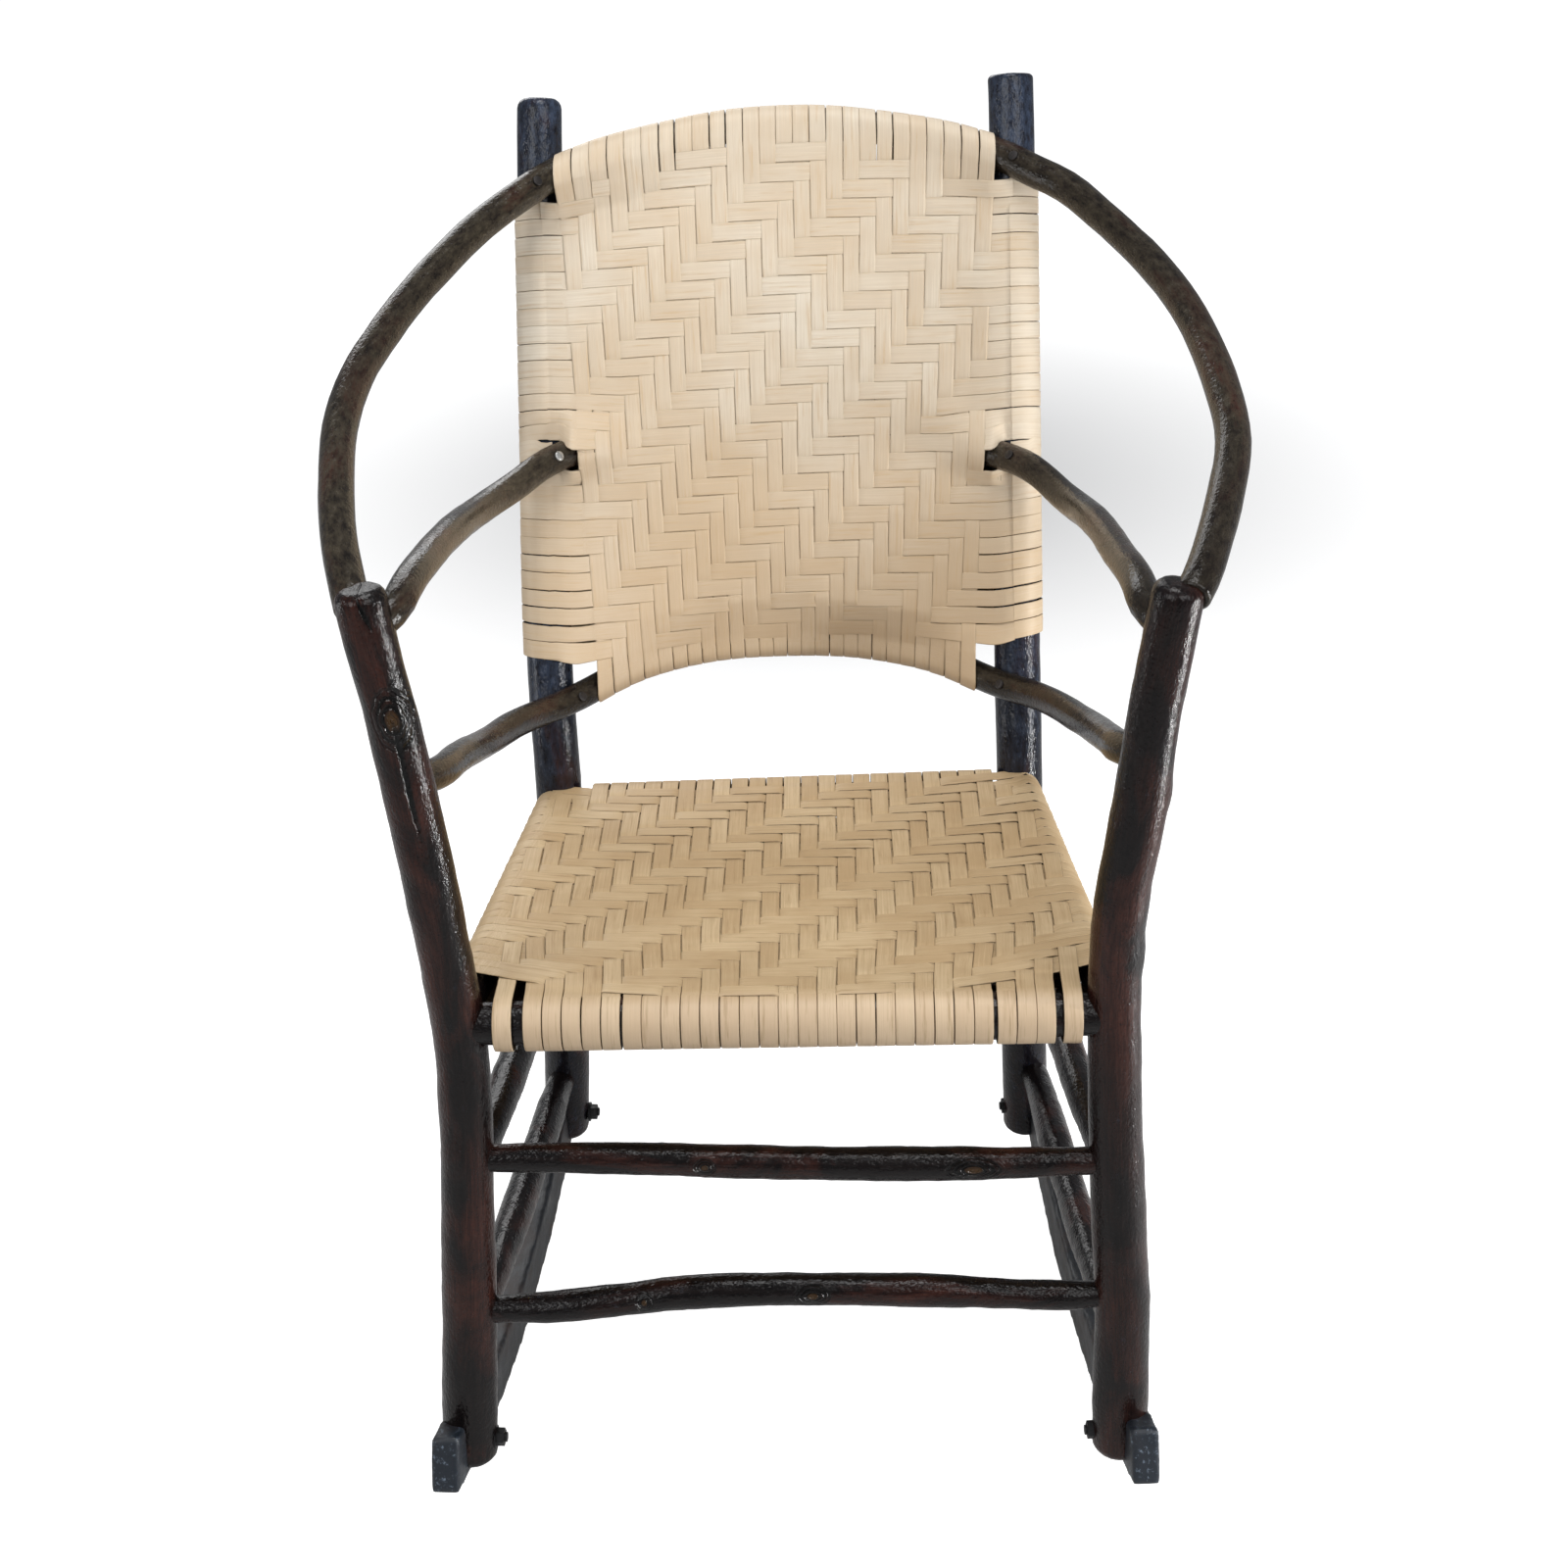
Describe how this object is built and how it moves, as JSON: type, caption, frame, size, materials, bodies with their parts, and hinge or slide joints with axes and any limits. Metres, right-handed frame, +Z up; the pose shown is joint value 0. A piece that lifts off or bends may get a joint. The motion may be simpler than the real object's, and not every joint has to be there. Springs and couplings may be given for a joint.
{
  "type": "rocking chair",
  "caption": "Rustic hickory pole rocking chair with bent hoop arms, a woven bark seat and back, round rungs and a pair of sawn rockers.",
  "frame": {"origin": "on the floor, midway between the rockers, where they touch it when the chair stands at rest", "axes": "+X to the sitter's left, +Y to the back of the chair, +Z up"},
  "size_m": [0.699, 0.692, 1.043],
  "materials": {
    "pole_wood": "satin",
    "rocker_wood": "matte",
    "bark_strip": "matte",
    "dark_iron": "matte",
    "bright_steel": "satin"
  },
  "bodies": {
    "root": {"front_post_left": "pole_wood", "back_post_left": "pole_wood", "front_post_right": "pole_wood", "back_post_right": "pole_wood", "top_hoop": "pole_wood", "middle_hoop": "pole_wood", "lower_hoop": "pole_wood", "seat_front_rail": "pole_wood", "seat_back_rail": "pole_wood", "seat_side_rail_left": "pole_wood", "seat_side_rail_right": "pole_wood", "front_stretcher_upper": "pole_wood", "front_stretcher_lower": "pole_wood", "back_stretcher": "pole_wood", "side_stretcher_upper_left": "pole_wood", "side_stretcher_upper_right": "pole_wood", "side_stretcher_lower_left": "pole_wood", "side_stretcher_lower_right": "pole_wood", "rocker_left": "rocker_wood", "rocker_right": "rocker_wood", "rocker_bolts": "dark_iron", "rocker_washers": "dark_iron", "rocker_nuts": "dark_iron", "hoop_nails": "bright_steel", "seat_weave": "bark_strip", "back_weave": "bark_strip"}
  },
  "joints": []
}
